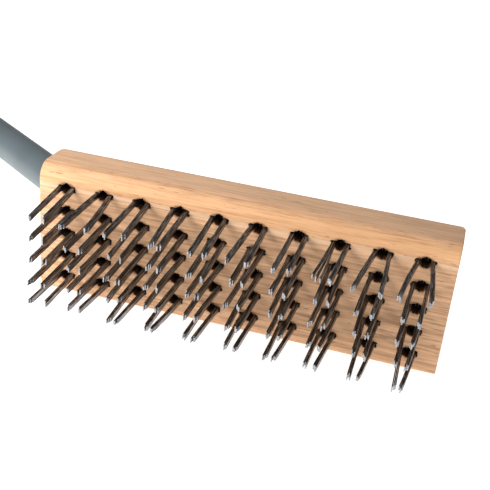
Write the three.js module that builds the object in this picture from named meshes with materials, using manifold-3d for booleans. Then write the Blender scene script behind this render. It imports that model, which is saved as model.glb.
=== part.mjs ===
// Flat-wire scrubbing brush: a wood block, five rows of ten folded flat-wire tufts, and a round
// handle set in the back of the block at a slant. Millimetres, +Z up.
//
// The brush stands on one long side of its block. X runs along the block, towards the end away from
// the handle. The bristle face looks towards -Y and the handle leaves the back towards -X and +Y.
// The origin is the middle of the long side that the brush stands on.

import * as THREE from 'three';
import { mergeVertices } from 'three/addons/utils/BufferGeometryUtils.js';
import Module from 'manifold-3d';

const wasm = await Module();
wasm.setup();

// Block
const BLOCK_LENGTH = 250;
const BLOCK_HEIGHT = 86;
const BLOCK_THICKNESS = 30;
const FRONT_EDGE_RADIUS = 10;
const BACK_EDGE_RADIUS = 1.2;
const BACK_CORNER_RADIUS = 4;
const EDGE_SEGMENTS = 8;
const FACE_Y = -BLOCK_THICKNESS / 2;
const BACK_Y = BLOCK_THICKNESS / 2;

// Tuft grid, with row 1 at the top and column 1 at the handle's end
const ROWS = 5;
const COLUMNS = 10;
const COLUMN_PITCH = 23.8;
const ROW_PITCH = 14.6;
const GRID_RISE = 1;

// One tuft: three nested U-shaped wires held by an anchor
const WIRE_WIDTH = 3;
const WIRES = 3;
const WIRE_STEP = 0.78;
const LEG_OUTER = 5.1;
const LEG_INNER = LEG_OUTER - WIRES * WIRE_STEP;
const BEND_STEPS = 6;
const TUFT_DEPTH = 12;
const WIRE_PROUD = 42;
const TIP_STEP = 1.4;
const ANCHOR = 2.2;
const ANCHOR_SEAT = 0.6;

// How the tips stand away from straight out, in millimetres at the tip
const LEAN_TO_MIDDLE_X = 0.35;
const LEAN_TO_MIDDLE_Z = 1.3;
const LEAN_RANDOM = 0.9;
const LENGTH_RANDOM = 1.2;
const OPENING_BY_ROW = [
  [0.2, 3.1, 1.1, -1.5, -0.3, 1.5, 0.2, -0.2, 3.3, 4.2],
  [0, 0.4, -0.6, -1, 0, -0.8, -0.2, -0.6, 0.2, 0.4],
  [0.3, -0.4, -0.2, -0.8, -1, -0.4, -0.8, -0.2, -0.6, 0],
  [0.2, -0.6, -1, -0.4, -0.8, -1.2, -0.6, -1, -0.8, -1],
  [0.6, -0.6, -1.8, -2, -1.2, -1, -1.5, -1.2, -1.4, -2.1],
];

// Tuft hole: a round hole with a slot across it for the two legs
const GAP = 0.3;
const HOLE_RADIUS = 3.3;
const SLOT_HALF_LENGTH = LEG_OUTER + GAP;
const SLOT_HALF_WIDTH = WIRE_WIDTH / 2 + GAP;
const HOLE_DEPTH = TUFT_DEPTH + GAP;
const HOLE_ARC_STEPS = 4;
const CUT_PAST_FACE = 1;

// Handle, along an axis in the block's middle plane that crosses the back at HANDLE_X
const HANDLE_X = -89.5;
const HANDLE_TILT = THREE.MathUtils.degToRad(36);
const HANDLE_RADIUS = 12.5;
const HANDLE_REACH = 350;
const SOCKET_DEPTH = 17;
const END_RADIUS = 8;
const TAPER_LENGTH = 32;
const END_CHAMFER = 1.5;
const HANDLE_SIDES = 28;
const DOME_STEPS = 6;
const DOME_LENGTH = 9;

// Handle screw, square to the handle, through it and into the block
const SCREW_AT = 10;
const SCREW_LENGTH = 33;
const SCREW_RADIUS = 2;
const SCREW_HEAD_RADIUS = 4;
const SCREW_HEAD_HEIGHT = 2.4;
const SCREW_POINT = 4;
const SCREW_SINK = 1.2;
const SCREW_SIDES = 14;
const SCREW_HOLE_ABOVE = 3.6;

const MID_Z = BLOCK_HEIGHT / 2;

const WOOD = { color: 0xd9a97f, roughness: 0.75, metalness: 0 };
const WIRE_STEEL = { color: 0x4c4742, roughness: 0.4, metalness: 0.9 };
const GREY_PAINT = { color: 0x7c8a90, roughness: 0.4, metalness: 0 };
const SCREW_STEEL = { color: 0xb9b49a, roughness: 0.35, metalness: 0.9 };

// Repeatable spread between -1 and 1 for one tuft; salt picks which of its values.
function wobble(row, column, salt) {
  const value = Math.sin(12.9898 * row + 78.233 * column + 37.719 * salt) * 43758.5453;
  return 2 * (value - Math.floor(value)) - 1;
}

function toManifold(geometry) {
  const bare = geometry.clone();
  bare.deleteAttribute('normal');
  bare.deleteAttribute('uv');
  const merged = mergeVertices(bare, 1e-4);
  return new wasm.Manifold(new wasm.Mesh({
    numProp: 3,
    vertProperties: new Float32Array(merged.attributes.position.array),
    triVerts: new Uint32Array(merged.index.array),
  }));
}

function toGeometry(manifold) {
  const mesh = manifold.getMesh();
  const geometry = new THREE.BufferGeometry();
  geometry.setAttribute('position', new THREE.BufferAttribute(mesh.vertProperties, 3));
  geometry.setIndex(new THREE.BufferAttribute(mesh.triVerts, 1));
  geometry.computeVertexNormals();
  return geometry;
}

function namedMesh(name, geometry, look) {
  const mesh = new THREE.Mesh(geometry, new THREE.MeshStandardMaterial(look));
  mesh.name = name;
  return mesh;
}

// The middle of a tuft hole's mouth.
function tuftPlace(row, column) {
  const x = (column - (COLUMNS + 1) / 2) * COLUMN_PITCH;
  const z = MID_Z + GRID_RISE + ((ROWS + 1) / 2 - row) * ROW_PITCH;
  return new THREE.Vector3(x, FACE_Y, z);
}

// The block's cross-section, drawn with its first axis along Z and its second along Y.
function blockSection() {
  const section = new THREE.Shape();
  const right = BLOCK_HEIGHT;
  const quarter = Math.PI / 2;
  section.moveTo(FRONT_EDGE_RADIUS, FACE_Y);
  section.lineTo(right - FRONT_EDGE_RADIUS, FACE_Y);
  section.absarc(right - FRONT_EDGE_RADIUS, FACE_Y + FRONT_EDGE_RADIUS, FRONT_EDGE_RADIUS, -quarter, 0);
  section.lineTo(right, BACK_Y - BACK_EDGE_RADIUS);
  section.absarc(right - BACK_EDGE_RADIUS, BACK_Y - BACK_EDGE_RADIUS, BACK_EDGE_RADIUS, 0, quarter);
  section.lineTo(BACK_EDGE_RADIUS, BACK_Y);
  section.absarc(BACK_EDGE_RADIUS, BACK_Y - BACK_EDGE_RADIUS, BACK_EDGE_RADIUS, quarter, 2 * quarter);
  section.lineTo(0, FACE_Y + FRONT_EDGE_RADIUS);
  section.absarc(FRONT_EDGE_RADIUS, FACE_Y + FRONT_EDGE_RADIUS, FRONT_EDGE_RADIUS, 2 * quarter, 3 * quarter);
  return section;
}

// The block seen from above, with its two back corners rounded.
function blockPlan() {
  const end = BLOCK_LENGTH / 2;
  const quarter = Math.PI / 2;
  const round = BACK_CORNER_RADIUS;
  const plan = new THREE.Shape();
  plan.moveTo(-end, FACE_Y);
  plan.lineTo(end, FACE_Y);
  plan.lineTo(end, BACK_Y - round);
  plan.absarc(end - round, BACK_Y - round, round, 0, quarter);
  plan.lineTo(-end + round, BACK_Y);
  plan.absarc(-end + round, BACK_Y - round, round, quarter, 2 * quarter);
  plan.lineTo(-end, FACE_Y);
  return plan;
}

function tuftHoleShape() {
  const reach = Math.asin(SLOT_HALF_WIDTH / HOLE_RADIUS);
  const points = [];
  for (const side of [0, Math.PI]) {
    const flip = Math.cos(side);
    points.push(new THREE.Vector2(flip * SLOT_HALF_LENGTH, flip * -SLOT_HALF_WIDTH));
    points.push(new THREE.Vector2(flip * SLOT_HALF_LENGTH, flip * SLOT_HALF_WIDTH));
    for (let step = 0; step <= HOLE_ARC_STEPS; step += 1) {
      const angle = side + reach + (Math.PI - 2 * reach) * step / HOLE_ARC_STEPS;
      points.push(new THREE.Vector2(HOLE_RADIUS * Math.cos(angle), HOLE_RADIUS * Math.sin(angle)));
    }
  }
  return new THREE.Shape(points);
}

// Places a solid turned about its own Y so that Y runs along the handle, away from the block, and
// its origin is where the handle's axis crosses the block's back.
function alongHandle(geometry) {
  geometry.rotateZ(Math.PI / 2 - HANDLE_TILT);
  geometry.translate(HANDLE_X, BACK_Y, MID_Z);
  return geometry;
}

// The handle's profile from its seated end to its far end, as radius and distance along the axis.
// With a margin it is the socket cutter instead.
function handleProfile(margin) {
  const start = -SOCKET_DEPTH - margin;
  const taperEnd = TAPER_LENGTH - SOCKET_DEPTH;
  const points = [new THREE.Vector2(0, start)];
  points.push(new THREE.Vector2(END_RADIUS - END_CHAMFER + margin, start));
  points.push(new THREE.Vector2(END_RADIUS + margin, start + END_CHAMFER));
  points.push(new THREE.Vector2(HANDLE_RADIUS + margin, taperEnd));
  const domeStart = HANDLE_REACH - DOME_LENGTH;
  for (let step = 0; step < DOME_STEPS; step += 1) {
    const angle = Math.PI / 2 * step / DOME_STEPS;
    const radius = (HANDLE_RADIUS + margin) * Math.cos(angle);
    points.push(new THREE.Vector2(radius, domeStart + DOME_LENGTH * Math.sin(angle)));
  }
  points.push(new THREE.Vector2(0, HANDLE_REACH));
  return points;
}

function handleSolid(margin) {
  return toManifold(alongHandle(new THREE.LatheGeometry(handleProfile(margin), HANDLE_SIDES)));
}

// The handle's radius at SCREW_AT, partway up its taper.
function radiusAtScrew() {
  const along = (SCREW_AT + SOCKET_DEPTH - END_CHAMFER) / (TAPER_LENGTH - END_CHAMFER);
  return END_RADIUS + (HANDLE_RADIUS - END_RADIUS) * Math.min(1, along);
}

function screwGeometry(margin) {
  const top = margin > 0 ? SCREW_HOLE_ABOVE : 0;
  const tip = -SCREW_LENGTH - margin;
  const points = [
    new THREE.Vector2(0, tip),
    new THREE.Vector2(SCREW_RADIUS + margin, tip + SCREW_POINT),
    new THREE.Vector2(SCREW_RADIUS + margin, -SCREW_HEAD_HEIGHT - margin),
    new THREE.Vector2(SCREW_HEAD_RADIUS + margin, -margin),
  ];
  if (top > 0) {
    points.push(new THREE.Vector2(SCREW_HEAD_RADIUS + margin, top));
  }
  points.push(new THREE.Vector2(0, top));
  const screw = new THREE.LatheGeometry(points, SCREW_SIDES);
  // Its axis, now Y, becomes the handle's own sideways direction, and its head faces away.
  screw.rotateZ(-Math.PI / 2);
  screw.translate(radiusAtScrew() - SCREW_SINK, SCREW_AT, 0);
  return alongHandle(screw);
}

function blockGeometry() {
  const body = new THREE.ExtrudeGeometry(blockSection(), {
    depth: BLOCK_LENGTH,
    bevelEnabled: false,
    curveSegments: EDGE_SEGMENTS,
  });
  // The section's axes Z and Y and the extrusion along X make a left-handed set, so the
  // extrusion is swapped onto the block's axes and its faces are turned over.
  const swap = new THREE.Matrix4().set(
    0, 0, 1, -BLOCK_LENGTH / 2,
    0, 1, 0, 0,
    1, 0, 0, 0,
    0, 0, 0, 1,
  );
  body.applyMatrix4(swap);
  let block = toManifold(flipFaces(body));
  const outline = new THREE.ExtrudeGeometry(blockPlan(), {
    depth: BLOCK_HEIGHT,
    bevelEnabled: false,
    curveSegments: EDGE_SEGMENTS,
  });
  block = block.intersect(toManifold(outline));
  const holes = [];
  for (let row = 1; row <= ROWS; row += 1) {
    for (let column = 1; column <= COLUMNS; column += 1) {
      const depth = HOLE_DEPTH + CUT_PAST_FACE;
      const hole = new THREE.ExtrudeGeometry(tuftHoleShape(), { depth, bevelEnabled: false });
      const place = tuftPlace(row, column);
      hole.rotateX(Math.PI / 2);
      hole.translate(place.x, place.y + HOLE_DEPTH, place.z);
      holes.push(toManifold(hole));
    }
  }
  block = block.subtract(wasm.Manifold.union(holes));
  block = block.subtract(handleSolid(GAP));
  block = block.subtract(toManifold(screwGeometry(GAP)));
  return toGeometry(block);
}

function flipFaces(geometry) {
  const merged = geometry.index ? geometry : mergeVertices(geometry);
  const index = merged.index;
  for (let corner = 0; corner < index.count; corner += 3) {
    const kept = index.getX(corner + 1);
    index.setX(corner + 1, index.getX(corner + 2));
    index.setX(corner + 2, kept);
  }
  return merged;
}

// One leg's stepped tip, from its outer wire to its inner one. The three wires end at different
// lengths, in an order that depends on the tuft.
function tipPoints(side, row, column, opening, lean) {
  const points = [];
  const order = Math.floor((wobble(row, column, 3 + side) + 1) * WIRES / 2);
  for (let wire = 0; wire < WIRES; wire += 1) {
    const rank = (wire + order) % WIRES;
    const proud = WIRE_PROUD - TIP_STEP * (rank - 1) + LENGTH_RANDOM * wobble(row, column, 5 + side);
    const outer = LEG_OUTER - wire * WIRE_STEP + opening;
    points.push(new THREE.Vector2(side * outer + lean, proud));
    points.push(new THREE.Vector2(side * (outer - WIRE_STEP) + lean, proud));
  }
  return points;
}

// One leg above the block's face, as an outline along X and out of the face.
function legOutline(side, row, column) {
  const opening = OPENING_BY_ROW[row - 1][column - 1];
  const middle = (COLUMNS + 1) / 2;
  const lean = (middle - column) * LEAN_TO_MIDDLE_X + LEAN_RANDOM * wobble(row, column, 1);
  const root = [new THREE.Vector2(side * LEG_INNER, 0), new THREE.Vector2(side * LEG_OUTER, 0)];
  return [...root, ...tipPoints(side, row, column, opening, lean)];
}

// The part of every tuft that sits in its hole: the folded legs with the anchor in the fold.
function foldOutline() {
  const bendTop = LEG_OUTER - TUFT_DEPTH;
  const anchorFoot = bendTop - LEG_INNER * ANCHOR_SEAT;
  const anchorTop = anchorFoot + ANCHOR;
  const points = [new THREE.Vector2(-LEG_INNER, 0), new THREE.Vector2(-LEG_OUTER, 0)];
  for (let step = 0; step <= BEND_STEPS; step += 1) {
    const angle = Math.PI + Math.PI * step / BEND_STEPS;
    points.push(new THREE.Vector2(LEG_OUTER * Math.cos(angle), bendTop + LEG_OUTER * Math.sin(angle)));
  }
  points.push(new THREE.Vector2(LEG_OUTER, 0), new THREE.Vector2(LEG_INNER, 0));
  points.push(new THREE.Vector2(LEG_INNER, bendTop));
  points.push(new THREE.Vector2(ANCHOR / 2, anchorFoot), new THREE.Vector2(ANCHOR / 2, anchorTop));
  points.push(new THREE.Vector2(-ANCHOR / 2, anchorTop), new THREE.Vector2(-ANCHOR / 2, anchorFoot));
  points.push(new THREE.Vector2(-LEG_INNER, bendTop));
  return points;
}

// A wire-wide slab of an outline, turned so that its second axis points out of the block's face.
function wireSlab(outline) {
  const shape = new THREE.Shape(outline);
  const slab = new THREE.ExtrudeGeometry(shape, { depth: WIRE_WIDTH, bevelEnabled: false });
  slab.translate(0, 0, -WIRE_WIDTH / 2);
  slab.rotateX(Math.PI);
  return slab;
}

function tuftGeometry(row, column) {
  let tuft = toManifold(wireSlab(foldOutline()));
  const lean = (row - (ROWS + 1) / 2) * LEAN_TO_MIDDLE_Z + LEAN_RANDOM * wobble(row, column, 2);
  for (const side of [-1, 1]) {
    const leg = wireSlab(legOutline(side, row, column));
    const position = leg.attributes.position;
    for (let corner = 0; corner < position.count; corner += 1) {
      position.setZ(corner, position.getZ(corner) - lean * position.getY(corner) / WIRE_PROUD);
    }
    tuft = tuft.add(toManifold(leg));
  }
  return toGeometry(tuft);
}

const brush = new THREE.Group();
brush.name = 'flat_wire_scrubbing_brush';
brush.add(namedMesh('block', blockGeometry(), WOOD));

const handle = handleSolid(0).subtract(toManifold(screwGeometry(GAP)));
brush.add(namedMesh('handle', toGeometry(handle), GREY_PAINT));
brush.add(namedMesh('handle_screw', toGeometry(toManifold(screwGeometry(0))), SCREW_STEEL));

for (let row = 1; row <= ROWS; row += 1) {
  for (let column = 1; column <= COLUMNS; column += 1) {
    const tuft = namedMesh(`tuft_r${row}_c${column}`, tuftGeometry(row, column), WIRE_STEEL);
    tuft.position.copy(tuftPlace(row, column));
    brush.add(tuft);
  }
}

export default brush;
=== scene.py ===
"""Flat-wire scrubbing brush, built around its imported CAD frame. Metres, in the frame's axes.

The brush stands on one long side of its block: X runs along the block, away from the handle, -Y is
out of the bristle face and +Z is up.
"""
import math
import random

import bmesh
import bpy
from mathutils import Matrix, Vector


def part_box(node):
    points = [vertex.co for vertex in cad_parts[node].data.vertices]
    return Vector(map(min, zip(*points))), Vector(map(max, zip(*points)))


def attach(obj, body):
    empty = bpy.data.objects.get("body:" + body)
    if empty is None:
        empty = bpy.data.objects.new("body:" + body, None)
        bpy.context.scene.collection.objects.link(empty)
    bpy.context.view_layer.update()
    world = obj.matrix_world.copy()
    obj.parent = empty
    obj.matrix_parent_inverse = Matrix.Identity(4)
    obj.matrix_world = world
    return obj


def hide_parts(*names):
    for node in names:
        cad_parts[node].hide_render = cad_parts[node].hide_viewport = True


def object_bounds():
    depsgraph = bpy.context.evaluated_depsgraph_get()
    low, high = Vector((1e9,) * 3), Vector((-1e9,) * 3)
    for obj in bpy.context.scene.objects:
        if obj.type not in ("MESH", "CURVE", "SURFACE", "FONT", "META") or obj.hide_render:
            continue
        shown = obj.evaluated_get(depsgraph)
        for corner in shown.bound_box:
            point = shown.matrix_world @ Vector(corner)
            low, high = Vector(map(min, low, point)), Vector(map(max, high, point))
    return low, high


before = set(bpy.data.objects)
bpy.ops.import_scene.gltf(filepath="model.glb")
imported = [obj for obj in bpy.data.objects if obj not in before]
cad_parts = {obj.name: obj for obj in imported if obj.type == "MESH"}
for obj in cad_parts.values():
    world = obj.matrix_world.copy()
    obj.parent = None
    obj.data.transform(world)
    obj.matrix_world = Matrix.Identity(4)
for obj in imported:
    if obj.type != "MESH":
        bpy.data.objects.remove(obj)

MM = 0.001
CAD_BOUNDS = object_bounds()
SEED = 7

# ---------------------------------------------------------------------------------------------
# Places read from the frame
# ---------------------------------------------------------------------------------------------
BLOCK_LOW, BLOCK_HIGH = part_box("block")
FACE_Y = BLOCK_LOW.y
BACK_Y = BLOCK_HIGH.y
MID_Z = (BLOCK_LOW.z + BLOCK_HIGH.z) / 2
ROWS, COLUMNS = 5, 10

# The CAD's own sizes, repeated from its driving dimensions
COLUMN_PITCH = 23.8 * MM
ROW_PITCH = 14.6 * MM
GRID_RISE = 1.0 * MM
FRONT_EDGE_RADIUS = 10.0 * MM
BACK_EDGE_RADIUS = 1.2 * MM
BACK_CORNER_RADIUS = 4.0 * MM
WIRE_WIDTH = 3.0 * MM
WIRES = 3
WIRE_STEP = 0.78 * MM
LEG_OUTER = 5.1 * MM
TUFT_DEPTH = 12.0 * MM
WIRE_PROUD = 42.0 * MM
TIP_STEP = 1.4 * MM
ANCHOR = 2.2 * MM
HOLE_RADIUS = 3.3 * MM
GAP = 0.3 * MM
HOLE_DEPTH = TUFT_DEPTH + GAP
HANDLE_X = -89.5 * MM
HANDLE_TILT = math.radians(36)
HANDLE_RADIUS = 12.5 * MM
HANDLE_REACH = 350.0 * MM
SOCKET_DEPTH = 17.0 * MM
END_RADIUS = 8.0 * MM
TAPER_LENGTH = 32.0 * MM
END_CHAMFER = 1.5 * MM
DOME_LENGTH = 9.0 * MM
SCREW_AT = 10.0 * MM
SCREW_LENGTH = 33.0 * MM
SCREW_RADIUS = 2.0 * MM
SCREW_HEAD_RADIUS = 4.0 * MM
SCREW_HEAD_HEIGHT = 2.4 * MM
SCREW_POINT = 4.0 * MM
SCREW_SINK = 1.2 * MM
SCREW_RIM = 0.3 * MM
CUT_PAST = 5.0 * MM

# Only the visual's own: how much thinner the round handle is drawn than the CAD's faceted one
HANDLE_EASE = 0.06 * MM

# How the tips stand away from straight out, at the tip
LEAN_TO_MIDDLE_X = 0.35 * MM
LEAN_TO_MIDDLE_Z = 1.3 * MM
LEAN_RANDOM = 0.9 * MM
LENGTH_RANDOM = 1.2 * MM
OPENING_BY_ROW = [
    [0.2, 3.1, 1.1, -1.5, -0.3, 1.5, 0.2, -0.2, 3.3, 4.2],
    [0, 0.4, -0.6, -1, 0, -0.8, -0.2, -0.6, 0.2, 0.4],
    [0.3, -0.4, -0.2, -0.8, -1, -0.4, -0.8, -0.2, -0.6, 0],
    [0.2, -0.6, -1, -0.4, -0.8, -1.2, -0.6, -1, -0.8, -1],
    [0.6, -0.6, -1.8, -2, -1.2, -1, -1.5, -1.2, -1.4, -2.1],
]
FANNED = {(1, 8, -1): 1.5 * MM}


# ---------------------------------------------------------------------------------------------
# Camera
# ---------------------------------------------------------------------------------------------
def make_camera():
    """The view of the bristle face from above its right-hand end, with a small roll."""
    data = bpy.data.cameras.new("camera")
    data.sensor_width = 36.0
    data.lens = 65.4
    data.clip_start = 0.01
    camera = bpy.data.objects.new("camera", data)
    bpy.context.scene.collection.objects.link(camera)
    heading, elevation, roll = math.radians(-13.28), math.radians(26.16), math.radians(5.96)
    forward = Vector((
        math.sin(heading) * math.cos(elevation),
        math.cos(heading) * math.cos(elevation),
        -math.sin(elevation),
    ))
    level_right = forward.cross(Vector((0, 0, 1))).normalized()
    level_up = level_right.cross(forward)
    right = level_right * math.cos(roll) + level_up * math.sin(roll)
    up = right.cross(forward)
    turn = Matrix((right, up, -forward)).transposed().to_4x4()
    place = Vector((110.9, -463.3, 287.2)) * MM
    camera.matrix_world = Matrix.Translation(place) @ turn
    bpy.context.scene.camera = camera


# ---------------------------------------------------------------------------------------------
# Small helpers
# ---------------------------------------------------------------------------------------------
def wobble(row, column, salt):
    """The CAD's own repeatable spread between -1 and 1 for one tuft."""
    value = math.sin(12.9898 * row + 78.233 * column + 37.719 * salt) * 43758.5453
    return 2 * (value - math.floor(value)) - 1


def tuft_place(row, column):
    """The middle of a tuft hole's mouth."""
    x = (column - (COLUMNS + 1) / 2) * COLUMN_PITCH
    z = MID_Z + GRID_RISE + ((ROWS + 1) / 2 - row) * ROW_PITCH
    return Vector((x, FACE_Y, z))


def object_from(bm, name):
    mesh = bpy.data.meshes.new(name)
    bm.to_mesh(mesh)
    bm.free()
    made = bpy.data.objects.new(name, mesh)
    bpy.context.scene.collection.objects.link(made)
    return made


def keep(piece, node):
    """piece stands for the CAD node, which it hides, and rides with the frame."""
    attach(piece, "root")
    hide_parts(node)


def smooth(piece, angle_degrees):
    for polygon in piece.data.polygons:
        polygon.use_smooth = True
    piece.data.set_sharp_from_angle(angle=math.radians(angle_degrees))


def cut_away(piece, cutter):
    """Cuts cutter out of piece for good, giving the cut faces the cutter's material, and removes it."""
    modifier = piece.modifiers.new("cut", "BOOLEAN")
    modifier.operation = "DIFFERENCE"
    modifier.object = cutter
    modifier.solver = "EXACT"
    modifier.material_mode = "TRANSFER"
    bpy.context.view_layer.update()
    graph = bpy.context.evaluated_depsgraph_get()
    result = bpy.data.meshes.new_from_object(piece.evaluated_get(graph))
    piece.modifiers.remove(modifier)
    old = piece.data
    piece.data = result
    bpy.data.meshes.remove(old)
    bpy.data.objects.remove(cutter)


def along_handle():
    """Takes a piece drawn along +Z onto the handle's axis, from where it crosses the block's back."""
    away = Vector((-math.cos(HANDLE_TILT), math.sin(HANDLE_TILT), 0))
    side = Vector((math.sin(HANDLE_TILT), math.cos(HANDLE_TILT), 0))
    across = away.cross(side)
    turn = Matrix((side, across, away)).transposed()
    if turn.determinant() < 0:
        turn = Matrix((side, -across, away)).transposed()
    return Matrix.Translation(Vector((HANDLE_X, BACK_Y, MID_Z))) @ turn.to_4x4()


def lathe(profile, sides, name):
    """A closed solid of revolution round Z; profile is (radius, height) from axis to axis."""
    bm = bmesh.new()
    rings = []
    for radius, height in profile:
        if radius < 1e-7:
            rings.append([bm.verts.new((0, 0, height))])
            continue
        ring = []
        for step in range(sides):
            angle = 2 * math.pi * step / sides
            ring.append(bm.verts.new((radius * math.cos(angle), radius * math.sin(angle), height)))
        rings.append(ring)
    for low, high in zip(rings, rings[1:]):
        for step in range(sides):
            after = (step + 1) % sides
            corners = [low[step % len(low)], low[after % len(low)]]
            corners += [high[after % len(high)], high[step % len(high)]]
            corners = list(dict.fromkeys(corners))
            bm.faces.new(corners)
    bmesh.ops.recalc_face_normals(bm, faces=bm.faces)
    return object_from(bm, name)


# ---------------------------------------------------------------------------------------------
# Node-tree helpers
# ---------------------------------------------------------------------------------------------
class Nodes:
    """A short way to write a material's node tree."""

    def __init__(self, name):
        self.material = bpy.data.materials.new(name)
        self.material.use_nodes = True
        self.tree = self.material.node_tree
        self.shader = self.tree.nodes["Principled BSDF"]

    def add(self, kind, **settings):
        node = self.tree.nodes.new(kind)
        for key, value in settings.items():
            setattr(node, key, value)
        return node

    def plug(self, source, target):
        self.tree.links.new(source, target)

    def value(self, operation, first, second=None, clamp=False):
        node = self.add("ShaderNodeMath", operation=operation, use_clamp=clamp)
        for socket, given in zip(node.inputs, (first, second)):
            if given is None:
                continue
            if isinstance(given, (int, float)):
                socket.default_value = given
            else:
                self.plug(given, socket)
        return node.outputs[0]

    def coordinates(self, scale=(1, 1, 1), location=(0, 0, 0)):
        source = self.add("ShaderNodeTexCoord")
        mapping = self.add("ShaderNodeMapping")
        mapping.inputs["Scale"].default_value = scale
        mapping.inputs["Location"].default_value = location
        self.plug(source.outputs["Object"], mapping.inputs["Vector"])
        return mapping.outputs["Vector"]

    def noise(self, vector, scale, detail=4.0, roughness=0.55):
        node = self.add("ShaderNodeTexNoise")
        node.inputs["Scale"].default_value = scale
        node.inputs["Detail"].default_value = detail
        node.inputs["Roughness"].default_value = roughness
        self.plug(vector, node.inputs["Vector"])
        return node.outputs[0]

    def ramp(self, factor, stops):
        """A colour ramp; stops are (place, colour) pairs."""
        node = self.add("ShaderNodeValToRGB")
        elements = node.color_ramp.elements
        while len(elements) < len(stops):
            elements.new(0.5)
        for element, (place, colour) in zip(elements, stops):
            element.position = place
            element.color = (*colour, 1.0)
        self.plug(factor, node.inputs["Fac"])
        return node.outputs["Color"]

    def mix(self, factor, first, second, blend="MIX"):
        node = self.add("ShaderNodeMix", data_type="RGBA", blend_type=blend)
        sockets = (node.inputs[0], node.inputs[6], node.inputs[7])
        for socket, given in zip(sockets, (factor, first, second)):
            if isinstance(given, (int, float)):
                socket.default_value = given
            elif isinstance(given, tuple):
                socket.default_value = (*given, 1.0)
            else:
                self.plug(given, socket)
        return node.outputs[2]

    def bump(self, height, strength, distance):
        node = self.add("ShaderNodeBump")
        node.inputs["Strength"].default_value = strength
        node.inputs["Distance"].default_value = distance
        self.plug(height, node.inputs["Height"])
        return node.outputs["Normal"]


def grey(level):
    return (level, level, level)


# ---------------------------------------------------------------------------------------------
# Materials
# ---------------------------------------------------------------------------------------------
def grain_fields(n):
    """Growth rings, broad and fine fibres, and pores of wood whose fibres run along X."""
    warp = n.noise(n.coordinates(scale=(2.2, 12, 12)), 1.0, detail=3)
    rings_at = n.coordinates(location=(0, -0.085, 0.030))
    separate = n.add("ShaderNodeSeparateXYZ")
    n.plug(rings_at, separate.inputs[0])
    across_y = n.value("POWER", separate.outputs["Y"], 2)
    across_z = n.value("POWER", separate.outputs["Z"], 2)
    distance = n.value("SQRT", n.value("ADD", across_y, across_z))
    bent = n.value("ADD", distance, n.value("MULTIPLY", warp, 0.030))
    phase = n.value("FRACT", n.value("MULTIPLY", bent, 190.0))
    broad = n.noise(n.coordinates(scale=(9, 260, 260)), 1.0, detail=4, roughness=0.62)
    fine = n.noise(n.coordinates(scale=(42, 900, 900), location=(1, 2, 5)), 1.0, detail=4, roughness=0.75)
    pores = n.noise(n.coordinates(scale=(120, 1150, 1150), location=(3, 1, 2)), 1.0, detail=1)
    return phase, broad, fine, pores


def band_between(n, height, rise, fall, blur):
    """1 where height lies between rise and fall, fading over blur at either side."""
    edges = []
    for middle in (rise, fall):
        edge = n.add("ShaderNodeMapRange", interpolation_type="SMOOTHSTEP")
        edge.inputs["From Min"].default_value = middle - blur
        edge.inputs["From Max"].default_value = middle + blur
        n.plug(height, edge.inputs["Value"])
        edges.append(edge.outputs[0])
    return n.value("SUBTRACT", edges[0], edges[1], clamp=True)


def scorch_and_shade_rim(n, place):
    """1 close round each tuft hole on the bristle face, with a torn edge: the mask of the dark rim,
    partly scorch and partly painted shade round the hole's mouth.
    """
    cell_x = n.value("PINGPONG", n.value("ADD", place.outputs["X"], 50 * COLUMN_PITCH), COLUMN_PITCH / 2)
    from_x = n.value("SUBTRACT", cell_x, COLUMN_PITCH / 2)
    grid_low = MID_Z + GRID_RISE - ROW_PITCH * 20
    from_z = n.value("PINGPONG", n.value("SUBTRACT", place.outputs["Z"], grid_low), ROW_PITCH / 2)
    squared_x = n.value("POWER", n.value("MULTIPLY", from_x, 0.74), 2)
    reach = n.value("SQRT", n.value("ADD", squared_x, n.value("POWER", from_z, 2)))
    torn = n.noise(n.coordinates(scale=(500, 500, 1100)), 1.0, detail=4, roughness=0.7)
    ragged = n.value("ADD", reach, n.value("MULTIPLY", torn, 0.0030))
    rim = n.add("ShaderNodeMapRange", interpolation_type="SMOOTHSTEP")
    rim.inputs["From Min"].default_value = 0.0045
    rim.inputs["From Max"].default_value = 0.0062
    rim.inputs["To Min"].default_value = 1.0
    rim.inputs["To Max"].default_value = 0.0
    n.plug(ragged, rim.inputs["Value"])
    on_face = n.value("LESS_THAN", place.outputs["Y"], FACE_Y + 0.002)
    return n.value("MULTIPLY", rim.outputs[0], on_face)


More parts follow.
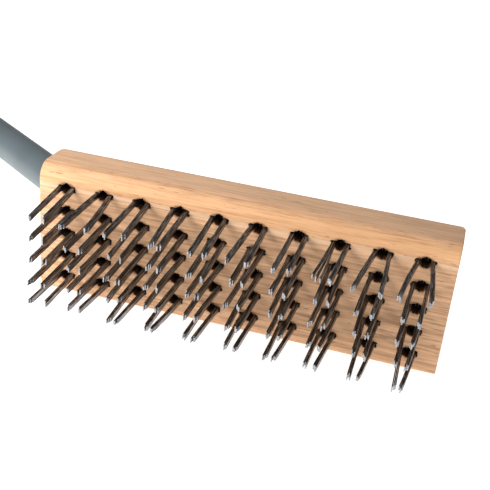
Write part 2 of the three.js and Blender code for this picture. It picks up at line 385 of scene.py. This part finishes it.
def wood_material():
    """Pale beech with grain along X, dark pores, and dark rims round the tuft holes that are partly
    scorch and partly painted shade.
    """
    n = Nodes("beech")
    phase, broad, fine, pores = grain_fields(n)
    ring = n.ramp(phase, [
        (0.0, (0.560, 0.300, 0.145)),
        (0.40, (0.690, 0.400, 0.215)),
        (0.84, (0.670, 0.375, 0.195)),
        (1.0, (0.500, 0.255, 0.115)),
    ])
    broad_tone = n.ramp(broad, [(0.30, (0.76, 0.69, 0.62)), (0.48, grey(1.0)), (0.68, grey(1.12))])
    fine_tone = n.ramp(fine, [(0.34, (0.66, 0.58, 0.50)), (0.50, grey(1.0)), (0.66, (1.20, 1.20, 1.18))])
    colour = n.mix(0.45, (0.715, 0.430, 0.255), ring)
    colour = n.mix(1.0, colour, broad_tone, "MULTIPLY")
    colour = n.mix(1.0, colour, fine_tone, "MULTIPLY")

    # A warmer band along the upper front edge with a paler line under it, and a paler tan on
    # everything behind the rounded front edges
    place = n.add("ShaderNodeSeparateXYZ")
    n.plug(n.coordinates(), place.inputs[0])
    height = n.value("ADD", place.outputs["Z"], n.value("MULTIPLY", broad, 0.005))
    warm = band_between(n, height, 0.0775, 0.0865, 0.0018)
    pale = band_between(n, height, 0.0745, 0.0768, 0.0012)
    colour = n.mix(n.value("MULTIPLY", warm, 0.45), colour, (0.780, 0.410, 0.180))
    colour = n.mix(n.value("MULTIPLY", pale, 0.45), colour, (0.820, 0.600, 0.420))
    back = n.add("ShaderNodeMapRange", interpolation_type="SMOOTHSTEP")
    back.inputs["From Min"].default_value = FACE_Y + 0.006
    back.inputs["From Max"].default_value = FACE_Y + 0.012
    n.plug(n.value("ADD", place.outputs["Y"], n.value("MULTIPLY", fine, 0.002)), back.inputs["Value"])
    colour = n.mix(n.value("MULTIPLY", back.outputs[0], 0.40), colour, (0.720, 0.480, 0.320))

    # Short dark pores
    pore_mask = n.ramp(pores, [(0.23, grey(1.0)), (0.30, grey(0.0))])
    colour = n.mix(n.value("MULTIPLY", pore_mask, 0.75), colour, (0.20, 0.095, 0.045))
    # Painted shade: a dark rim round each tuft hole's mouth, partly scorch and partly the shade of the
    # hole and the wires in it.
    colour = n.mix(n.value("MULTIPLY", scorch_and_shade_rim(n, place), 0.8), colour, (0.17, 0.080, 0.036))

    n.plug(colour, n.shader.inputs["Base Color"])
    rough = n.ramp(fine, [(0.25, grey(0.66)), (0.75, grey(0.50))])
    n.plug(rough, n.shader.inputs["Roughness"])
    n.shader.inputs["Specular IOR Level"].default_value = 0.35
    relief = n.value("SUBTRACT", fine, n.value("MULTIPLY", pore_mask, 0.5))
    n.plug(n.bump(relief, 0.35, 0.00030), n.shader.inputs["Normal"])
    return n.material


def scorched_shaded_hole_material():
    """The wall of a drilled hole: dark browns, partly scorch and partly painted shade, rougher than the
    faces, with painted shade to near black deep down.
    """
    n = Nodes("drilled_wood")
    rings = n.noise(n.coordinates(scale=(500, 2200, 500)), 1.0, detail=4, roughness=0.7)
    colour = n.ramp(rings, [
        (0.30, (0.020, 0.008, 0.004)),
        (0.50, (0.120, 0.050, 0.020)),
        (0.70, (0.340, 0.160, 0.070)),
    ])
    # Painted shade: the wall gets darker with depth into the hole, down to near black.
    depth = n.add("ShaderNodeSeparateXYZ")
    n.plug(n.coordinates(), depth.inputs[0])
    fade = n.add("ShaderNodeMapRange", interpolation_type="SMOOTHSTEP")
    fade.inputs["From Min"].default_value = FACE_Y
    fade.inputs["From Max"].default_value = FACE_Y + 0.010
    n.plug(depth.outputs["Y"], fade.inputs["Value"])
    colour = n.mix(n.value("MULTIPLY", fade.outputs[0], 0.85), colour, (0.010, 0.005, 0.003))
    n.plug(colour, n.shader.inputs["Base Color"])
    n.shader.inputs["Roughness"].default_value = 0.85
    n.shader.inputs["Specular IOR Level"].default_value = 0.2
    n.plug(n.bump(rings, 0.5, 0.0003), n.shader.inputs["Normal"])
    return n.material


def bored_wood_material():
    """The pale wall of the handle socket and of the screw's pilot hole."""
    n = Nodes("bored_wood")
    rings = n.noise(n.coordinates(scale=(400, 400, 400)), 1.0, detail=4, roughness=0.7)
    colour = n.ramp(rings, [(0.3, (0.36, 0.20, 0.11)), (0.7, (0.58, 0.36, 0.21))])
    n.plug(colour, n.shader.inputs["Base Color"])
    n.shader.inputs["Roughness"].default_value = 0.8
    n.plug(n.bump(rings, 0.4, 0.0003), n.shader.inputs["Normal"])
    return n.material


def wire_material():
    """Dark tempered flat steel, with drawing lines along it painted up into bright highlight streaks, and
    thin brown patches that are a painted reflection of the wood.
    """
    n = Nodes("tempered_wire")
    lines = n.noise(n.coordinates(scale=(2300, 30, 2300)), 1.0, detail=3, roughness=0.6)
    patches = n.noise(n.coordinates(scale=(110, 45, 110)), 1.0, detail=3)
    # Partly real drawing lines and partly painted highlight: the lines are ramped into bright highlight
    # streaks between near-black ones.
    steel = n.ramp(lines, [
        (0.34, (0.018, 0.019, 0.021)),
        (0.50, (0.085, 0.090, 0.098)),
        (0.66, (0.480, 0.500, 0.530)),
    ])
    # Painted reflection: brown patches standing for the wood mirrored in the wires.
    brown = n.ramp(patches, [(0.48, grey(0.0)), (0.72, grey(1.0))])
    colour = n.mix(n.value("MULTIPLY", brown, 0.35), steel, (0.085, 0.055, 0.036))
    n.plug(colour, n.shader.inputs["Base Color"])
    n.shader.inputs["Metallic"].default_value = 0.95
    rough = n.ramp(lines, [(0.25, grey(0.44)), (0.80, grey(0.26))])
    n.plug(rough, n.shader.inputs["Roughness"])
    n.plug(n.bump(lines, 0.35, 0.00008), n.shader.inputs["Normal"])
    return n.material


def anchor_material():
    """The anchor bar deep in the hole, painted near black for the shade it lies in, and dusted with wood.
    """
    n = Nodes("shade_dark_anchor")
    dust = n.noise(n.coordinates(scale=(700, 700, 700)), 1.0, detail=3)
    # Painted shade: the bar is near black so that it reads as the hole's shade, with paler specks of wood
    # dust.
    colour = n.ramp(dust, [(0.4, (0.008, 0.006, 0.005)), (0.75, (0.055, 0.028, 0.014))])
    n.plug(colour, n.shader.inputs["Base Color"])
    n.shader.inputs["Roughness"].default_value = 0.9
    n.shader.inputs["Specular IOR Level"].default_value = 0.1
    n.plug(n.bump(dust, 0.5, 0.0003), n.shader.inputs["Normal"])
    return n.material


def cut_steel_material():
    """The sheared end of a wire, brighter than its sides."""
    n = Nodes("sheared_steel")
    marks = n.noise(n.coordinates(scale=(1500, 5000, 1500)), 1.0, detail=2)
    colour = n.ramp(marks, [(0.3, (0.16, 0.165, 0.17)), (0.7, (0.55, 0.56, 0.58))])
    n.plug(colour, n.shader.inputs["Base Color"])
    n.shader.inputs["Metallic"].default_value = 1.0
    n.shader.inputs["Roughness"].default_value = 0.32
    n.plug(n.bump(marks, 0.4, 0.00008), n.shader.inputs["Normal"])
    return n.material


def paint_material():
    """Satin blue-grey paint with a slight orange peel, uneven tone and dust."""
    n = Nodes("grey_paint")
    peel = n.noise(n.coordinates(scale=(420, 420, 420)), 1.0, detail=3)
    cloud = n.noise(n.coordinates(scale=(22, 22, 22)), 1.0, detail=4)
    speck = n.noise(n.coordinates(scale=(1300, 1300, 1300), location=(4, 2, 1)), 1.0, detail=1)
    colour = n.ramp(cloud, [
        (0.30, (0.085, 0.108, 0.118)),
        (0.55, (0.100, 0.126, 0.136)),
        (0.80, (0.120, 0.147, 0.156)),
    ])
    dust = n.ramp(speck, [(0.70, grey(0.0)), (0.80, grey(1.0))])
    colour = n.mix(n.value("MULTIPLY", dust, 0.25), colour, (0.40, 0.43, 0.44))
    n.plug(colour, n.shader.inputs["Base Color"])
    rough = n.ramp(cloud, [(0.3, grey(0.44)), (0.7, grey(0.36))])
    n.plug(rough, n.shader.inputs["Roughness"])
    n.shader.inputs["Specular IOR Level"].default_value = 0.45
    n.plug(n.bump(peel, 0.10, 0.0004), n.shader.inputs["Normal"])
    return n.material


def screw_material():
    """Yellow-passivated zinc."""
    n = Nodes("zinc_plate")
    tint = n.noise(n.coordinates(scale=(300, 300, 300)), 1.0, detail=3)
    colour = n.ramp(tint, [(0.3, (0.62, 0.52, 0.28)), (0.7, (0.76, 0.70, 0.50))])
    n.plug(colour, n.shader.inputs["Base Color"])
    n.shader.inputs["Metallic"].default_value = 1.0
    n.shader.inputs["Roughness"].default_value = 0.30
    n.plug(n.bump(tint, 0.1, 0.0002), n.shader.inputs["Normal"])
    return n.material


# ---------------------------------------------------------------------------------------------
# Block
# ---------------------------------------------------------------------------------------------
FRONT_EDGE_STEPS = 20
BACK_EDGE_STEPS = 4
BACK_SIDE_STEPS = 8
LEAST_RADIUS = 0.3 * MM
END_EASE = 0.7 * MM
END_EASE_STEPS = 3
HOLE_STEPS = 72
HOLE_TEAR = 0.40 * MM


def block_section(inset):
    """The block's outline as (y, z) points, drawn in by inset all round."""
    low_z, high_z = BLOCK_LOW.z + inset, BLOCK_HIGH.z - inset
    low_y, high_y = FACE_Y + inset, BACK_Y - inset
    corners = [
        (low_y, high_z, FRONT_EDGE_RADIUS, 90, 180, FRONT_EDGE_STEPS),
        (low_y, low_z, FRONT_EDGE_RADIUS, 180, 270, FRONT_EDGE_STEPS),
        (high_y, low_z, BACK_EDGE_RADIUS, 270, 360, BACK_EDGE_STEPS),
        (high_y, high_z, BACK_EDGE_RADIUS, 0, 90, BACK_EDGE_STEPS),
    ]
    side_end = high_y - max(BACK_EDGE_RADIUS - inset, LEAST_RADIUS)
    side_start = BACK_Y - BACK_CORNER_RADIUS
    side_run = (side_end - side_start) / BACK_SIDE_STEPS
    side = [side_start + side_run * step for step in range(BACK_SIDE_STEPS)]
    points = []
    for y, z, full_radius, start, stop, steps in corners:
        if start == 270:
            points += [(along, low_z) for along in side]
        radius = max(full_radius - inset, LEAST_RADIUS)
        centre_y = y + radius if y == low_y else y - radius
        centre_z = z - radius if z == high_z else z + radius
        for step in range(steps + 1):
            angle = math.radians(start + (stop - start) * step / steps)
            points.append((centre_y + radius * math.cos(angle), centre_z + radius * math.sin(angle)))
    return points + [(along, high_z) for along in reversed(side)]


def end_setback(y):
    """How far the rounded back corner draws the block's end in at this y."""
    past = max(0.0, y - (BACK_Y - BACK_CORNER_RADIUS))
    return BACK_CORNER_RADIUS - math.sqrt(max(0.0, BACK_CORNER_RADIUS ** 2 - past ** 2))


def block_solid():
    """The plain block, with its sawn ends eased and its back corners rounded."""
    stations = []
    for step in range(END_EASE_STEPS + 1):
        angle = math.pi / 2 * step / END_EASE_STEPS
        inset = END_EASE * (1 - math.sin(angle))
        from_end = END_EASE * (1 - math.cos(angle))
        stations.append((inset, from_end))
    bm = bmesh.new()
    made = []
    for side, order in ((-1, stations), (1, list(reversed(stations)))):
        for inset, from_end in order:
            loop = []
            for y, z in block_section(inset):
                x = side * (BLOCK_HIGH.x - from_end - end_setback(y))
                loop.append(bm.verts.new((x, y, z)))
            made.append(loop)
    for first, second in zip(made, made[1:]):
        for index in range(len(first)):
            after = (index + 1) % len(first)
            bm.faces.new((first[index], first[after], second[after], second[index]))
    for loop in (made[0], made[-1]):
        cap_end(bm, loop)
    bmesh.ops.recalc_face_normals(bm, faces=bm.faces)
    return object_from(bm, "wood_block")


def cap_end(bm, loop):
    """Closes one end: a flat part, then strips from the lower back edge to the upper one."""
    rounded = BACK_SIDE_STEPS + BACK_EDGE_STEPS + 1
    back = len(loop) - 2 * rounded
    lower = loop[back:back + rounded]
    upper = list(reversed(loop[back + rounded:]))
    bm.faces.new(loop[:back] + [lower[0], upper[0]])
    for step in range(rounded - 1):
        bm.faces.new((lower[step], lower[step + 1], upper[step + 1], upper[step]))


def ragged_outline(draw):
    """A round hole with a slot across it, as drilled in wood: (x, z) points with torn edges."""
    slot_length = LEG_OUTER + 0.4 * MM
    slot_width = WIRE_WIDTH / 2 + 0.35 * MM
    points = []
    torn = 0.0
    for step in range(HOLE_STEPS):
        angle = 2 * math.pi * step / HOLE_STEPS
        across, along = abs(math.sin(angle)), abs(math.cos(angle))
        slot = min(slot_length / max(along, 1e-6), slot_width / max(across, 1e-6))
        torn = 0.5 * torn + draw.uniform(-HOLE_TEAR, HOLE_TEAR)
        radius = max(HOLE_RADIUS, slot) + torn
        points.append((radius * math.cos(angle), radius * math.sin(angle)))
    return points


def tuft_hole_cutters():
    """All the tuft holes in one cutter, each opening a little at its mouth and closing at its foot."""
    draw = random.Random(SEED)
    bm = bmesh.new()
    levels = [
        (-1.0 * MM, 1.05),
        (0.0, 1.05),
        (0.4 * MM, 1.0),
        (HOLE_DEPTH * 0.8, 0.97),
        (HOLE_DEPTH + 0.5 * MM, 0.7),
    ]
    for row in range(1, ROWS + 1):
        for column in range(1, COLUMNS + 1):
            place = tuft_place(row, column)
            outline = ragged_outline(draw)
            rings = []
            for depth, size in levels:
                ring = []
                for x, z in outline:
                    ring.append(bm.verts.new((place.x + x * size, place.y + depth, place.z + z * size)))
                rings.append(ring)
            for first, second in zip(rings, rings[1:]):
                for index in range(len(first)):
                    after = (index + 1) % len(first)
                    bm.faces.new((first[index], first[after], second[after], second[index]))
            bm.faces.new(rings[0])
            bm.faces.new(list(reversed(rings[-1])))
    bmesh.ops.recalc_face_normals(bm, faces=bm.faces)
    return object_from(bm, "tuft_hole_cutters")


def handle_profile(margin):
    """The handle from its seated end to its far end, as (radius, distance) from axis to axis."""
    start = -SOCKET_DEPTH - margin
    profile = [(0, start)]
    profile.append((END_RADIUS - END_CHAMFER + margin, start))
    profile.append((END_RADIUS + margin, start + END_CHAMFER))
    taper_end = TAPER_LENGTH - SOCKET_DEPTH
    taper_steps = 10
    for step in range(1, taper_steps + 1):
        share = step / taper_steps
        height = start + END_CHAMFER + (taper_end - start - END_CHAMFER) * share
        profile.append((END_RADIUS + (HANDLE_RADIUS - END_RADIUS) * share + margin, height))
    dome_start = HANDLE_REACH - DOME_LENGTH
    length_steps = 24
    for step in range(1, length_steps + 1):
        height = taper_end + (dome_start - taper_end) * step / length_steps
        profile.append((HANDLE_RADIUS + margin, height))
    dome_steps = 14
    for step in range(1, dome_steps):
        angle = math.pi / 2 * step / dome_steps
        radius = (HANDLE_RADIUS + margin) * math.cos(angle)
        profile.append((radius, dome_start + DOME_LENGTH * math.sin(angle)))
    profile.append((0, HANDLE_REACH))
    return profile


def screw_profile(margin, top):
    """The screw from its point to its head, as (radius, height), ending at the height top."""
    tip = -SCREW_LENGTH - margin
    return [
        (0, tip),
        (SCREW_RADIUS + margin, tip + SCREW_POINT),
        (SCREW_RADIUS + margin, -SCREW_HEAD_HEIGHT - margin),
        (SCREW_HEAD_RADIUS + margin, -margin - SCREW_RIM),
        (SCREW_HEAD_RADIUS + margin, top),
        (0, top),
    ]


def screw_matrix():
    """Where the screw sits: its own +Z is its head's direction, square to the handle."""
    along = (SCREW_AT + SOCKET_DEPTH - END_CHAMFER) / (TAPER_LENGTH - END_CHAMFER)
    radius = END_RADIUS + (HANDLE_RADIUS - END_RADIUS) * min(1, along)
    away = Vector((-math.cos(HANDLE_TILT), math.sin(HANDLE_TILT), 0))
    side = Vector((math.sin(HANDLE_TILT), math.cos(HANDLE_TILT), 0))
    place = Vector((HANDLE_X, BACK_Y, MID_Z)) + away * SCREW_AT + side * (radius - SCREW_SINK)
    turn = Matrix((away, side.cross(away), side)).transposed()
    return Matrix.Translation(place) @ turn.to_4x4()


def placed(piece, matrix):
    """Moves the mesh itself by matrix and returns the piece."""
    piece.data.transform(matrix)
    if matrix.to_3x3().determinant() < 0:
        piece.data.flip_normals()
    return piece


def make_block(looks):
    block = block_solid()
    block.data.materials.append(looks["wood"])
    holes = tuft_hole_cutters()
    holes.data.materials.append(looks["scorched_and_shaded"])
    cut_away(block, holes)
    socket = placed(lathe(handle_profile(GAP), 72, "socket_cutter"), along_handle())
    socket.data.materials.append(looks["bored"])
    cut_away(block, socket)
    pilot = placed(lathe(screw_profile(GAP, CUT_PAST), 24, "pilot_cutter"), screw_matrix())
    pilot.data.materials.append(looks["bored"])
    cut_away(block, pilot)
    smooth(block, 32)
    keep(block, "block")


# ---------------------------------------------------------------------------------------------
# Tufts
# ---------------------------------------------------------------------------------------------
WIRE_THICKNESS = 0.68 * MM
CORNER = 0.13 * MM
BRIGHT_LENGTH = 0.3 * MM
SLANT = 0.28
TIP_SLANT = 0.6 * MM
TIP_SPREAD = 0.35 * MM
SIDE_SPREAD = 0.09 * MM
BOW_SPREAD = 0.3 * MM
FOLD_STEPS = 12
LEG_STEPS = 7


def wire_section():
    """A flat wire's rounded section as (across, through) points, going round once."""
    half_width, half_thick = WIRE_WIDTH / 2, WIRE_THICKNESS / 2
    return [
        (half_width - CORNER, -half_thick), (half_width, -half_thick + CORNER),
        (half_width, half_thick - CORNER), (half_width - CORNER, half_thick),
        (-half_width + CORNER, half_thick), (-half_width, half_thick - CORNER),
        (-half_width, -half_thick + CORNER), (-half_width + CORNER, -half_thick),
    ]


def leg_path(side, rest_x, tip_x, tip_z, proud, bow):
    """Points (x, out, z) of one leg from the face to its tip, bowed a little on the way."""
    shares = [step / LEG_STEPS for step in range(LEG_STEPS)] + [1 - BRIGHT_LENGTH / proud, 1.0]
    points = []
    for share in shares:
        curve = 4 * share * (1 - share) * bow
        x = side * rest_x + (tip_x - side * rest_x) * share + curve
        points.append((x, proud * share, tip_z * share + 0.4 * curve))
    return points


def wire_path(row, column, wire, draw, legs):
    """One wire of a tuft from tip to tip, through its fold: (x, out, z) points."""
    rest_x = LEG_OUTER - (wire + 0.5) * WIRE_STEP
    bend_top = LEG_OUTER - TUFT_DEPTH
    sides = []
    for side in (-1, 1):
        leg = legs[side]
        order = math.floor((wobble(row, column, 3 + side) + 1) * WIRES / 2)
        rank = (wire + order) % WIRES
        proud = WIRE_PROUD - TIP_STEP * (rank - 1) + LENGTH_RANDOM * wobble(row, column, 5 + side)
        proud += draw.uniform(-TIP_SPREAD, TIP_SPREAD)
        proud = min(proud, FACE_Y - CAD_BOUNDS[0].y - TIP_SLANT)
        fan = FANNED.get((row, column, side), 0.0) * (1 - wire)
        tip_x = side * (rest_x + leg["opening"] + fan) + leg["lean_x"]
        tip_x += draw.uniform(-SIDE_SPREAD, SIDE_SPREAD)
        tip_z = leg["lean_z"] + draw.uniform(-TIP_SPREAD, TIP_SPREAD) - abs(fan) * 0.3 * wire
        sides.append(leg_path(side, rest_x, tip_x, tip_z, proud, leg["bow"]))
    path = list(reversed(sides[0]))
    path.append((-rest_x, bend_top * 0.5, 0))
    for step in range(FOLD_STEPS + 1):
        angle = math.pi + math.pi * step / FOLD_STEPS
        path.append((rest_x * math.cos(angle), bend_top + rest_x * math.sin(angle), 0))
    path.append((rest_x, bend_top * 0.5, 0))
    return path + sides[1]


def add_wire(bm, place, path, draw):
    """Sweeps the flat section along the path. Its wide side stays along Z."""
    section = wire_section()
    slants = [draw.uniform(-SLANT, SLANT), draw.uniform(-SLANT, SLANT)]
    rings = []
    last = len(path) - 1
    for index, (x, out, z) in enumerate(path):
        before, after = path[max(index - 1, 0)], path[min(index + 1, last)]
        run_x, run_out = after[0] - before[0], after[1] - before[1]
        length = math.hypot(run_x, run_out)
        normal = (-run_out / length, run_x / length)
        ring = []
        for across, through in section:
            slant = 0.0
            if index == 0:
                slant = slants[0] * across
            if index == last:
                slant = slants[1] * across
            ring.append(bm.verts.new((
                place.x + x + normal[0] * through,
                place.y - (out + normal[1] * through + slant),
                place.z + z + across,
            )))
        rings.append(ring)
    for index, (first, second) in enumerate(zip(rings, rings[1:])):
        bright = index == 0 or index == last - 1
        for corner in range(len(section)):
            after = (corner + 1) % len(section)
            face = bm.faces.new((first[corner], first[after], second[after], second[corner]))
            face.material_index = 1 if bright else 0
    for ring in (rings[0], list(reversed(rings[-1]))):
        face = bm.faces.new(ring)
        face.material_index = 1


def add_anchor(bm, place):
    """The short bar that the wires are folded round."""
    bend_top = LEG_OUTER - TUFT_DEPTH
    leg_inner = LEG_OUTER - WIRES * WIRE_STEP
    foot = bend_top - leg_inner * 0.6
    centre = Vector((place.x, place.y - (foot + ANCHOR / 2), place.z))
    size = Matrix.Diagonal((ANCHOR * 0.9, ANCHOR * 0.9, WIRE_WIDTH * 1.6, 1.0))
    made = bmesh.ops.create_cube(bm, size=1.0, matrix=Matrix.Translation(centre) @ size)
    for face in {face for vertex in made["verts"] for face in vertex.link_faces}:
        face.material_index = 2
    edges = list({edge for vertex in made["verts"] for edge in vertex.link_edges})
    bmesh.ops.bevel(bm, geom=edges, offset=0.25 * MM, segments=2, affect="EDGES")


def make_tuft(row, column, draw, looks):
    """One tuft: its wires and the anchor they are folded round, in one piece as in the CAD."""
    place = tuft_place(row, column)
    middle = (COLUMNS + 1) / 2
    lean_x = (middle - column) * LEAN_TO_MIDDLE_X + LEAN_RANDOM * wobble(row, column, 1)
    lean_z = (row - (ROWS + 1) / 2) * LEAN_TO_MIDDLE_Z + LEAN_RANDOM * wobble(row, column, 2)
    opening = OPENING_BY_ROW[row - 1][column - 1] * MM
    legs = {}
    for side in (-1, 1):
        bow = draw.uniform(-BOW_SPREAD, BOW_SPREAD) + side * max(opening, 0) * 0.12
        legs[side] = {"opening": opening, "lean_x": lean_x, "lean_z": lean_z, "bow": bow}
    bm = bmesh.new()
    for wire in range(WIRES):
        add_wire(bm, place, wire_path(row, column, wire, draw, legs), draw)
    add_anchor(bm, place)
    bmesh.ops.recalc_face_normals(bm, faces=bm.faces)
    tuft = object_from(bm, f"flat_wires_r{row}_c{column}")
    tuft.data.materials.append(looks["wire"])
    tuft.data.materials.append(looks["cut"])
    tuft.data.materials.append(looks["anchor"])
    smooth(tuft, 40)
    keep(tuft, f"tuft_r{row}_c{column}")


# ---------------------------------------------------------------------------------------------
# Handle and screw
# ---------------------------------------------------------------------------------------------
def make_handle(looks):
    handle = placed(lathe(handle_profile(-HANDLE_EASE), 96, "painted_handle"), along_handle())
    handle.data.materials.append(looks["paint"])
    hole = placed(lathe(screw_profile(GAP, CUT_PAST), 32, "screw_hole_cutter"), screw_matrix())
    hole.data.materials.append(looks["bored"])
    cut_away(handle, hole)
    smooth(handle, 30)
    keep(handle, "handle")


def make_screw(looks):
    screw = lathe(screw_profile(0, 0), 40, "countersunk_screw")
    screw.data.materials.append(looks["zinc"])
    arm, width, depth = 4.4 * MM, 0.9 * MM, 1.5 * MM
    for quarter in (0, 1):
        bm = bmesh.new()
        size = Matrix.Diagonal((arm, width, depth * 2, 1.0))
        turn = Matrix.Rotation(math.pi / 2 * quarter, 4, "Z")
        bmesh.ops.create_cube(bm, size=1.0, matrix=turn @ size)
        slot = object_from(bm, "recess_cutter")
        slot.data.materials.append(looks["zinc"])
        cut_away(screw, slot)
    placed(screw, screw_matrix())
    smooth(screw, 35)
    keep(screw, "handle_screw")


# ---------------------------------------------------------------------------------------------
# Stage and light
# ---------------------------------------------------------------------------------------------
FLOOR_HALF = 6.0
FLOOR_BELOW = 0.2 * MM


def make_floor():
    n = Nodes("pale_floor")
    n.shader.inputs["Base Color"].default_value = (0.86, 0.86, 0.86, 1)
    n.shader.inputs["Roughness"].default_value = 0.9
    n.shader.inputs["Specular IOR Level"].default_value = 0.1
    n.shader.inputs["Emission Color"].default_value = (1, 1, 1, 1)
    n.shader.inputs["Emission Strength"].default_value = 0.75
    bm = bmesh.new()
    corners = []
    for x, y in ((-1, -1), (1, -1), (1, 1), (-1, 1)):
        corners.append(bm.verts.new((x * FLOOR_HALF, y * FLOOR_HALF, -FLOOR_BELOW)))
    bm.faces.new(corners)
    floor = object_from(bm, "floor")
    floor.data.materials.append(n.material)


def area_light(name, towards, distance, size, power):
    """A square softbox in that direction from the block, facing it."""
    data = bpy.data.lights.new(name, "AREA")
    data.size = size
    data.energy = power
    light = bpy.data.objects.new(name, data)
    bpy.context.scene.collection.objects.link(light)
    direction = Vector(towards).normalized()
    light.location = Vector((0, 0, MID_Z)) + direction * distance
    light.rotation_euler = (-direction).to_track_quat("-Z", "Y").to_euler()


def make_light():
    """A white surround that lights softly, a large softbox at the left and a weak one at the right."""
    world = bpy.data.worlds.new("studio")
    bpy.context.scene.world = world
    world.use_nodes = True
    tree = world.node_tree
    background = tree.nodes["Background"]
    background.inputs["Color"].default_value = (1.0, 1.0, 1.0, 1)
    path = tree.nodes.new("ShaderNodeLightPath")
    strength = tree.nodes.new("ShaderNodeMapRange")
    strength.inputs["To Min"].default_value = 0.32
    strength.inputs["To Max"].default_value = 1.0
    tree.links.new(path.outputs["Is Camera Ray"], strength.inputs["Value"])
    tree.links.new(strength.outputs[0], background.inputs["Strength"])
    area_light("key", (-0.70, -0.60, 0.55), 0.74, 0.50, 6.6)
    area_light("fill", (0.70, -0.60, 0.75), 1.6, 1.2, 2.4)
    bpy.context.scene.view_settings.view_transform = "Standard"


# ---------------------------------------------------------------------------------------------
# Assembly
# ---------------------------------------------------------------------------------------------
make_camera()
make_light()
make_floor()
LOOKS = {
    "wood": wood_material(),
    "scorched_and_shaded": scorched_shaded_hole_material(),
    "bored": bored_wood_material(),
    "wire": wire_material(),
    "cut": cut_steel_material(),
    "anchor": anchor_material(),
    "paint": paint_material(),
    "zinc": screw_material(),
}
make_block(LOOKS)
make_handle(LOOKS)
make_screw(LOOKS)
DRAW = random.Random(SEED + 1)
for tuft_row in range(1, ROWS + 1):
    for tuft_column in range(1, COLUMNS + 1):
        make_tuft(tuft_row, tuft_column, DRAW, LOOKS)
